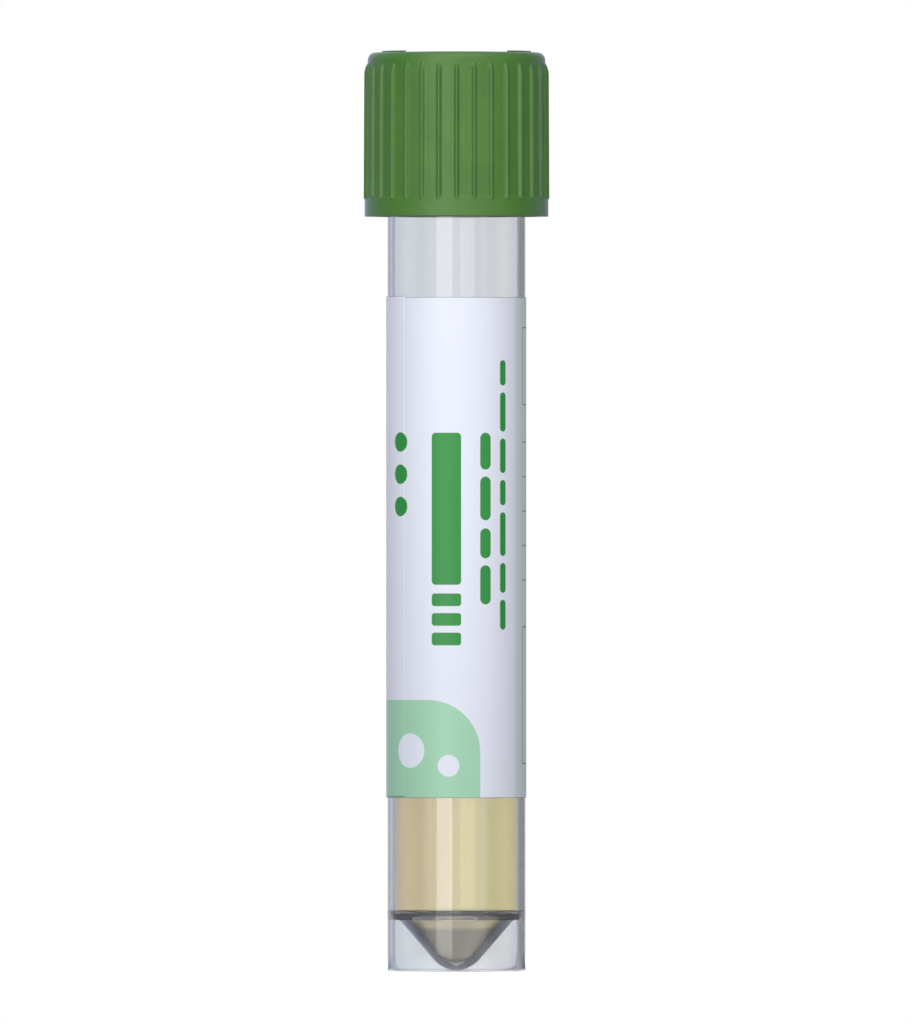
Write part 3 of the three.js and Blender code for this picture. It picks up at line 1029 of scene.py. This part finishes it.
def rib_tree():
    """Pushes a wall out along evenly spaced lines, as far as the crest's line allows."""
    tree, given = node_tree_with("grip rib relief", [
        ("Rib Count", "NodeSocketFloat", float(RIB_COUNT)),
        ("Rib Height", "NodeSocketFloat", RIB_HEIGHT * MM),
        ("Base Width", "NodeSocketFloat", RIB_BASE * MM),
        ("Crest Width", "NodeSocketFloat", RIB_CREST * MM),
        ("Blend", "NodeSocketFloat", RIB_BLEND * MM),
        ("Material", "NodeSocketMaterial", None),
    ])
    xyz, radius, turn = polar(tree)
    cell = product(tree, turn, given["Rib Count"])
    off = calc(tree, "ABSOLUTE", calc(tree, "SUBTRACT", cell, calc(tree, "ROUND", cell)))
    pitch = calc(tree, "DIVIDE", product(tree, radius, 2 * math.pi), given["Rib Count"])
    crest, base = halves(tree, given)
    flat = product(tree, crest, FLAT_OF_CREST)
    flank = ramp(tree, product(tree, off, pitch), flat, base, smooth_step=True)
    room = attribute(tree, "rib_room")
    share = ramp(tree, calc(tree, "DIVIDE", room, given["Rib Height"]), 0.0, 1.0)
    drop = product(tree, flank, given["Rib Height"], calc(tree, "SQRT", share))
    left = calc(tree, "SUBTRACT", room, drop)
    lift = calc(tree, "SMOOTH_MAX", left, 0.0, given["Blend"])
    pushed = push_radially(tree, given["Geometry"], lift, xyz, radius)
    finish_tree(tree, pushed, given["Material"])
    return tree


RIB_TREE = rib_tree()
print("tree:", RIB_TREE.name, "with", len(RIB_TREE.nodes), "nodes")

# %% [markdown]
# ## The cap
#
# One green moulding. Outside it has a plain band at the bottom, a slightly drafted body with
# the ribs, and a rounded top edge. Inside it has the bore with its thread, a plug ring that
# enters the tube, and a socket in the middle that grips a swab's shaft. The columns of the
# mesh crowd together at each rib, so its narrow crest is round and its flanks are clean.

# %% Cap sizes
BAND_RADIUS = 7.99
BAND_TOP = CAP_BOTTOM + 1.55
BODY_RADIUS = 7.8
BODY_TOP_RADIUS = 7.72
FLARE_HEIGHT = 0.3
TOP_FILLET = 0.68
PAD_RISE = 0.04
CROWN_TOP = CAP_TOP - PAD_RISE
CROWN = 0.09
SHOULDER_HEIGHT = CROWN_TOP - CROWN - TOP_FILLET
RIB_TOP = CROWN_TOP - 1.02
RIB_ROUND = 2.0
RIB_ROUND_HEIGHT = 1.04
RIB_DRAFT = 0.042
CEILING = SEAL_TOP
CAP_EDGE = 0.08
CAP_BORE = 6.8
MOUTH_CHAMFER = 0.3
PLUG_RADIUS = 5.3
PLUG_INNER = 4.6
PLUG_END = CEILING - 3.2
PLUG_LEAD_IN = (0.25, 0.5)
SOCKET_RADIUS = 2.2
SOCKET_SEAT = 1.1
SOCKET_MOUTH = 1.3
SOCKET_ROUND = 0.15
SOCKET_END = CEILING - 8.0


def body_radius(height):
    """The drafted wall between the ribs, flared at the bottom into the band."""
    flare_top = BAND_TOP + FLARE_HEIGHT
    if height <= flare_top:
        drawn_in = smooth_share(height, BAND_TOP, FLARE_HEIGHT)
        return BAND_RADIUS - (BAND_RADIUS - BODY_RADIUS) * drawn_in
    share = (height - flare_top) / (SHOULDER_HEIGHT - flare_top)
    return BODY_RADIUS + (BODY_TOP_RADIUS - BODY_RADIUS) * share


def crest_radius(height):
    """The line of the rib crests: nearly straight, then rounded over at the top."""
    straight_top = RIB_TOP - RIB_ROUND_HEIGHT
    crest = BODY_RADIUS + RIB_HEIGHT
    bottom = BAND_TOP + FLARE_HEIGHT
    drafted = crest - RIB_DRAFT * max(0.0, (height - bottom) / (straight_top - bottom))
    above = max(0.0, height - straight_top)
    if above >= RIB_ROUND:
        return 0.0
    return drafted - RIB_ROUND + math.sqrt(RIB_ROUND**2 - above**2)


# %% Build the cap
COLUMNS_TO_A_RIB = 18
CROWDING = 1.5
BAND_ROWS = 8
FLARE_ROWS = 8
ABOVE_FLARE = 0.15
BODY_ROWS = 10
RIB_END_ROWS = 14
CROWN_SHARES = (0.9, 0.75, 0.5, 0.25)
BORE_ROWS = 40


def crowded_angles():
    """Angles that crowd towards each rib's centre line."""
    half_pitch = math.pi / RIB_COUNT
    half_steps = COLUMNS_TO_A_RIB // 2
    shares = [(i / half_steps) ** CROWDING for i in range(half_steps)]
    offsets = sorted([-s for s in shares[1:]] + shares + [1.0])
    centres = [2 * math.pi * i / RIB_COUNT for i in range(RIB_COUNT)]
    return [centre + offset * half_pitch for centre in centres for offset in offsets]


def steps_between(low, high, count):
    """Evenly spaced levels, both ends included."""
    return [low + (high - low) * i / count for i in range(count + 1)]


def cap_outside():
    """Up the band, the flare and the ribbed wall, over the fillet and the crown."""
    outline = arc(BAND_RADIUS - CAP_EDGE, CAP_BOTTOM + CAP_EDGE, CAP_EDGE, -90, 0, 3)
    band = steps_between(CAP_BOTTOM + CAP_EDGE + HOLD, BAND_TOP - HOLD, BAND_ROWS)
    outline += [(BAND_RADIUS, height) for height in band]
    wall = steps_between(BAND_TOP, BAND_TOP + FLARE_HEIGHT, FLARE_ROWS)
    wall += steps_between(wall[-1] + ABOVE_FLARE, RIB_TOP - RIB_ROUND_HEIGHT, BODY_ROWS)
    wall += steps_between(wall[-1], SHOULDER_HEIGHT, RIB_END_ROWS)[1:-1]
    outline += [(body_radius(height), height) for height in wall]
    fillet_radius = BODY_TOP_RADIUS - TOP_FILLET
    outline += arc(fillet_radius, SHOULDER_HEIGHT, TOP_FILLET, 0, 90, 10)
    crown = [(fillet_radius * share, CROWN_TOP - CROWN * share * share) for share in CROWN_SHARES]
    return outline + crown + [(0, CROWN_TOP)]


def cap_inside():
    """From the socket's seat out over the socket, the plug ring and down the bore."""
    outline = [(0, CEILING), (SOCKET_SEAT, CEILING), (SOCKET_MOUTH, SOCKET_END)]
    foot = (SOCKET_RADIUS - SOCKET_ROUND, SOCKET_END + SOCKET_ROUND)
    outline += arc(*foot, SOCKET_ROUND, -90, 0, 3)
    outline += [(SOCKET_RADIUS, CEILING), (PLUG_INNER, CEILING), (PLUG_INNER, PLUG_END)]
    lead_across, lead_up = PLUG_LEAD_IN
    outline += [(PLUG_RADIUS - lead_across, PLUG_END), (PLUG_RADIUS, PLUG_END + lead_up)]
    outline += [(PLUG_RADIUS, CEILING), (CAP_BORE, CEILING)]
    low = NECK_THREAD_START - CAP_THREAD_DROP
    high = low + CAP_THREAD_TURNS * THREAD_LEAD + THREAD_MARGIN
    thread = steps_between(high, low - THREAD_MARGIN, BORE_ROWS)
    outline += [(CAP_BORE, height) for height in thread]
    return outline + [(CAP_BORE + MOUTH_CHAMFER, CAP_BOTTOM)]


def rib_room(radius, height):
    """How far the crest line stands above a point of the outer wall, in metres."""
    if radius < BODY_TOP_RADIUS - TOP_FILLET or height < BAND_TOP - HOLD / 2:
        return -1.0
    return (crest_radius(height) - radius) * MM


def bore_side(radius, height):
    """-1 on the cap's bore, 0 elsewhere."""
    return -float(abs(radius - CAP_BORE) < ON_WALL and height < CEILING - 1)


cap_mesh = turned_mesh("ribbed cap", cap_outside() + cap_inside(), crowded_angles())
carry(cap_mesh, "thread_side", bore_side)
carry(cap_mesh, "rib_room", rib_room)
cap_mesh = apply_trees(
    cap_mesh,
    (RIB_TREE, {"Material": GREEN}),
    (THREAD_TREE, {
        "Start Height": (NECK_THREAD_START - CAP_THREAD_DROP) * MM,
        "Turns": CAP_THREAD_TURNS,
        "Material": GREEN,
    }),
)
smooth(cap_mesh, 35)
add_piece("ribbed_cap", cap_mesh, GREEN, "cap", "green_cap", "screw_cap")

# %% [markdown]
# ## The two pads on the cap
#
# Two flat pads stand just above the crown, one at each side. Each is a segment of a disc: an
# arc closed by a straight edge. They are separate closed shells sunk into the cap's top, which
# is opaque, so nothing shows of the joint but its edge.

# %% Build the pads
PAD_RADIUS = 6.5
PAD_EDGE = 4.4
PAD_ROUND = 0.05
PAD_SINK = 0.3
PAD_STEPS = 24


def pad_mesh(side):
    """A disc segment on one side of the cap, with a rounded upper edge."""
    half = math.acos(PAD_EDGE / PAD_RADIUS)
    turns = steps_between(-half, half, PAD_STEPS)
    outline = [Vector((math.cos(a), math.sin(a), 0)) * side * PAD_RADIUS for a in turns]
    centre = Vector((side * (PAD_RADIUS + PAD_EDGE) / 2, 0, 0))
    third = PAD_ROUND / 3
    profile = [(0, CROWN_TOP - PAD_SINK), (0, CAP_TOP - PAD_ROUND)]
    profile += [(third, CAP_TOP - third), (PAD_ROUND, CAP_TOP)]
    work = bmesh.new()
    layers = []
    for inset, height in profile:
        ring = [point + (centre - point).normalized() * inset for point in outline]
        layers.append([work.verts.new((point + Vector((0, 0, height))) * MM) for point in ring])
    for below, above in zip(layers, layers[1:]):
        for i in range(len(below)):
            j = (i + 1) % len(below)
            work.faces.new((below[i], below[j], above[j], above[i]))
    work.faces.new(layers[-1])
    work.faces.new(layers[0][::-1])
    return finished_mesh("cap pad", work)


for side, name in ((-1, "cap_pad_left"), (1, "cap_pad_right")):
    mesh = pad_mesh(side)
    smooth(mesh, 50)
    add_piece(name, mesh, GREEN, "cap", "green_cap")

# %% [markdown]
# ## The studio around the object
#
# Clear plastic shows what stands round it, so the set matters as much as the lamps. Straight
# behind the tube is a pale backdrop. Beside it the walls are greyer, cooler on the left and
# darker on the right, which draws the tube's edges. Just right of the centre a narrow band is
# slightly darker, which calms what the tube's back wall mirrors. The walls at its two sides
# are dark, so the cap's flanks stay deep green, and a paler front gives its middle a soft
# sheen. Above and below, the set falls off. One group turns a direction into the studio's
# colour. The world feeds it the way a ray goes, and the floor feeds it its own place, so both
# agree.

# %% Group: colour of the studio in a direction
STUDIO = [
    (-180, (0.84, 0.86, 0.90)),
    (-130, (0.84, 0.86, 0.90)),
    (-112, (0.22, 0.23, 0.25)),
    (-75, (0.24, 0.26, 0.34)),
    (-50, (0.46, 0.48, 0.56)),
    (-36, (0.37, 0.40, 0.47)),
    (-31, (0.43, 0.48, 0.60)),
    (-27, (0.74, 0.80, 0.97)),
    (-22, (0.92, 0.94, 1.0)),
    (-5, (0.92, 0.94, 0.94)),
    (-2, (0.77, 0.785, 0.80)),
    (0.3, (0.77, 0.78, 0.795)),
    (0.55, (0.715, 0.72, 0.735)),
    (1.6, (0.715, 0.72, 0.735)),
    (1.95, (0.77, 0.77, 0.79)),
    (5, (0.95, 0.93, 0.92)),
    (20, (0.85, 0.86, 0.87)),
    (24, (0.25, 0.265, 0.29)),
    (33, (0.20, 0.21, 0.24)),
    (40, (0.33, 0.345, 0.38)),
    (60, (0.38, 0.38, 0.43)),
    (75, (0.24, 0.24, 0.26)),
    (112, (0.22, 0.22, 0.23)),
    (130, (0.84, 0.86, 0.90)),
    (180, (0.84, 0.86, 0.90)),
]
UPPER_SHADE = (0.15, 0.7, 1.0, 0.6)
LOWER_SHADE = (-0.6, -0.3, 0.4, 1.0)


def studio_group():
    """The studio's colour for a direction, by its compass angle and its slope."""
    group, given, out = new_group("studio walls", {"Direction": "Vector"}, {"Color": "Color"})
    unit = place(group, "ShaderNodeVectorMath", {0: given["Direction"]}, operation="NORMALIZE")
    xyz = place(group, "ShaderNodeSeparateXYZ", {"Vector": unit.outputs["Vector"]}).outputs
    angle = calc(group, "ARCTAN2", xyz["X"], xyz["Y"])
    share = calc(group, "ADD", calc(group, "DIVIDE", angle, 2 * math.pi), 0.5)
    walls = place(group, "ShaderNodeValToRGB", {"Fac": share})
    stops = walls.color_ramp.elements
    stops.remove(stops[-1])
    stops[0].color = (*STUDIO[0][1], 1)
    for degrees, colour in STUDIO[1:]:
        stops.new(degrees / 360 + 0.5).color = (*colour, 1)
    above = ramp(group, xyz["Z"], *UPPER_SHADE, smooth_step=True)
    below = ramp(group, xyz["Z"], *LOWER_SHADE, smooth_step=True)
    shade = product(group, above, below)
    channels = dict.fromkeys(("Red", "Green", "Blue"), shade)
    grey = place(group, "ShaderNodeCombineColor", channels).outputs["Color"]
    colour = mix_colour(group, 1.0, walls.outputs["Color"], grey, "MULTIPLY")
    group.links.new(colour, out["Color"])
    return group


STUDIO_WALLS = studio_group()


def studio_colour(tree, direction):
    """The studio group placed in a tree, fed with a direction."""
    inputs = {"Direction": direction}
    return place(tree, "ShaderNodeGroup", inputs, node_tree=STUDIO_WALLS).outputs["Color"]


print("studio stops:", len(STUDIO))

# %% [markdown]
# ## The world
#
# The camera sees plain white. Every other ray sees the studio.

# %% Build the world
WHITE = (1, 1, 1, 1)


def build_world():
    """White for the camera, and the studio for everything else."""
    world = bpy.data.worlds.new("studio")
    world.use_nodes = True
    tree = world.node_tree
    tree.nodes.clear()
    direction = place(tree, "ShaderNodeTexCoord").outputs["Generated"]
    colour = studio_colour(tree, direction)
    seen = place(tree, "ShaderNodeLightPath").outputs["Is Camera Ray"]
    shown = mix_colour(tree, seen, colour, WHITE)
    background = place(tree, "ShaderNodeBackground", {"Color": shown})
    out = place(tree, "ShaderNodeOutputWorld")
    tree.links.new(background.outputs[0], out.inputs["Surface"])
    return world


bpy.context.scene.world = build_world()
print("world:", bpy.context.scene.world.name)

# %% [markdown]
# ## The floor
#
# A plain pale floor. For the camera a white glow is added to its own shading, so that it
# reaches white where it is fully lit and keeps the tube's soft shadow where it isn't. Clear
# and glossy surfaces see the studio's colour in it instead, as they do above its edge. It is
# small, so that the lamps' light still shows below its edge in the tube's foot.

# %% Build the floor
FLOOR_SIZE = 0.22
FLOOR_PAINT = 0.5
FLOOR_GLOW = 0.75
EYE_HEIGHT = 6.0


def pale_floor():
    """Dull pale paint, lifted to white for the camera and a mirror of the studio for glass."""
    material, tree, shader = new_material("pale studio floor")
    paint = (FLOOR_PAINT, FLOOR_PAINT, FLOOR_PAINT, 1)
    settle(tree, shader, {"Base Color": paint, "Roughness": 0.9})
    rays = place(tree, "ShaderNodeLightPath").outputs
    strength = product(tree, rays["Is Camera Ray"], FLOOR_GLOW)
    glow = place(tree, "ShaderNodeEmission", {"Color": WHITE, "Strength": strength})
    lit = place(tree, "ShaderNodeAddShader", {0: shader.outputs[0], 1: glow.outputs[0]})
    eye = (0, 0, EYE_HEIGHT * MM)
    inputs = {0: position(tree)[0], 1: eye}
    way = place(tree, "ShaderNodeVectorMath", inputs, operation="SUBTRACT").outputs[0]
    mirrored = place(tree, "ShaderNodeEmission", {"Color": studio_colour(tree, way)})
    clear = calc(tree, "MAXIMUM", rays["Is Glossy Ray"], rays["Is Transmission Ray"])
    shown = mix_shader(tree, clear, lit.outputs[0], mirrored.outputs[0])
    tree.links.new(shown, tree.nodes["Material Output"].inputs["Surface"])
    return material


floor_mesh = bpy.data.meshes.new("floor")
half_floor = FLOOR_SIZE / 2
floor_mesh.from_pydata(
    [(-half_floor, -half_floor, 0), (half_floor, -half_floor, 0),
     (half_floor, half_floor, 0), (-half_floor, half_floor, 0)],
    [], [(0, 1, 2, 3)])
floor_mesh.materials.append(pale_floor())
floor = bpy.data.objects.new("floor", floor_mesh)
bpy.context.scene.collection.objects.link(floor)
print("floor:", FLOOR_SIZE, "m square")

# %% [markdown]
# ## Lamps
#
# A tall, narrow softbox at the front left draws the crisp bright stripe down the tube, the
# label and the cap. A very wide and weak one at the front right lifts the other half, and one
# overhead keeps the cap's top from going flat. Each is placed by its compass angle as seen
# from the object, and its strength is given as the brightness of its face.

# %% Build the softboxes
MIDDLE = Vector((0, 0, 0.04))
LAMPS = {
    # name: azimuth, elevation, distance, width, height, brightness, colour
    "stripe softbox": (-21, 0, 0.8, 0.39, 1.6, 1.75, (1.0, 0.99, 0.98)),
    "fill softbox": (20, 0, 0.8, 1.0, 1.6, 0.27, (1.0, 0.98, 0.95)),
    "overhead softbox": (0, 70, 0.9, 0.9, 0.9, 1.6, (0.97, 0.98, 1.0)),
}


def softbox(name, azimuth, elevation, distance, width, height, brightness, colour):
    """A flat lamp that faces the tube's middle. Azimuth 0 is the camera's side."""
    lamp = bpy.data.lights.new(name, "AREA")
    lamp.shape = "RECTANGLE"
    lamp.size, lamp.size_y = width, height
    lamp.energy = brightness * math.pi * width * height
    lamp.color = colour
    box = bpy.data.objects.new(name, lamp)
    bpy.context.scene.collection.objects.link(box)
    a, e = math.radians(azimuth), math.radians(elevation)
    aim = Vector((math.sin(a) * math.cos(e), -math.cos(a) * math.cos(e), math.sin(e)))
    box.location = MIDDLE + aim * distance
    box.rotation_euler = aim.to_track_quat("Z", "Y").to_euler()


for name, values in LAMPS.items():
    softbox(name, *values)

# %% [markdown]
# ## The camera
#
# The view is dead level and nearly without perspective, so the lens is very long and stands
# far away. The frame's height is a little more than the tube's.

# %% Build the camera
FRAME_HEIGHT = 89.04
VIEW_CENTRE = (-0.045, 39.92)
LENS = 1200.0
SENSOR = 36.0

lens = bpy.data.cameras.new("camera")
lens.lens = LENS
lens.sensor_width = SENSOR
lens.clip_start, lens.clip_end = 0.1, 50.0
camera = bpy.data.objects.new("camera", lens)
bpy.context.scene.collection.objects.link(camera)
distance = FRAME_HEIGHT * MM * LENS / SENSOR
place_of_lens = Vector((VIEW_CENTRE[0] * MM, -distance, VIEW_CENTRE[1] * MM))
camera.matrix_world = Matrix.Translation(place_of_lens) @ Matrix.Rotation(math.pi / 2, 4, "X")
bpy.context.scene.camera = camera
bpy.context.scene.view_settings.view_transform = "Standard"
print(f"camera {distance:.2f} m away")
